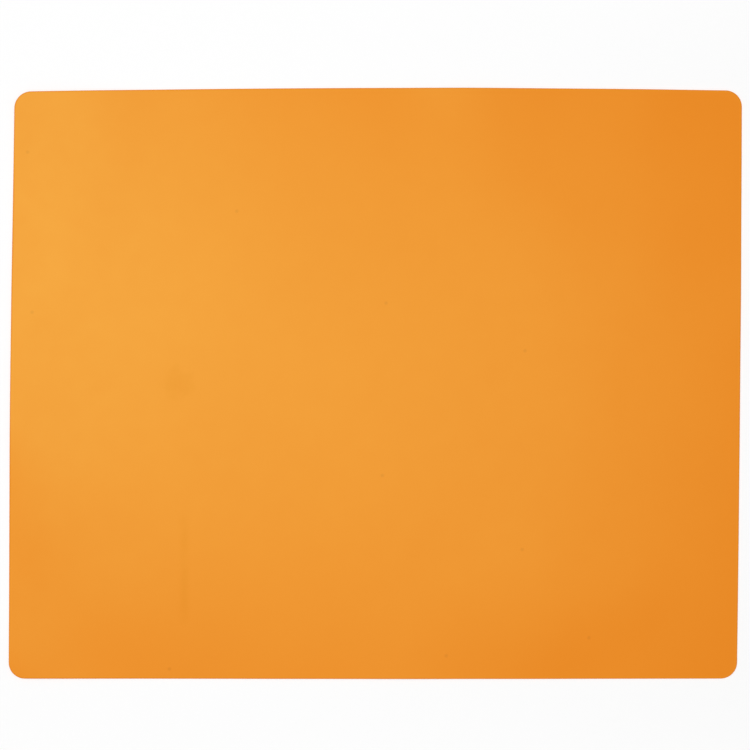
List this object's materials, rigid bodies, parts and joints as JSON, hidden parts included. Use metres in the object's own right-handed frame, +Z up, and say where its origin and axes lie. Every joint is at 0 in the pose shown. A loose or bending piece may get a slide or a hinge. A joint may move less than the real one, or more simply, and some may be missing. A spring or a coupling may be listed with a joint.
{
  "type": "silicone pastry mat",
  "caption": "Thin rectangular silicone pastry mat with rounded corners, a glass cloth core, a smooth working face, a grippy underside and a round sealed edge.",
  "frame": {"origin": "middle of the underside, on the table", "axes": "+X along the long side, +Y along the short side, +Z up out of the working face"},
  "size_m": [0.495, 0.4, 0.001],
  "materials": {
    "face_silicone": "satin orange silicone, soft sheen",
    "edge_silicone": "satin orange silicone bead",
    "base_silicone": "matt orange silicone that clings to a table",
    "glass_cloth": "off-white plain-woven glass fibre"
  },
  "bodies": {
    "root": {"base_coat": "base_silicone", "glass_cloth": "glass_cloth", "face_coat": "face_silicone", "edge_seal": "edge_silicone"}
  },
  "joints": []
}
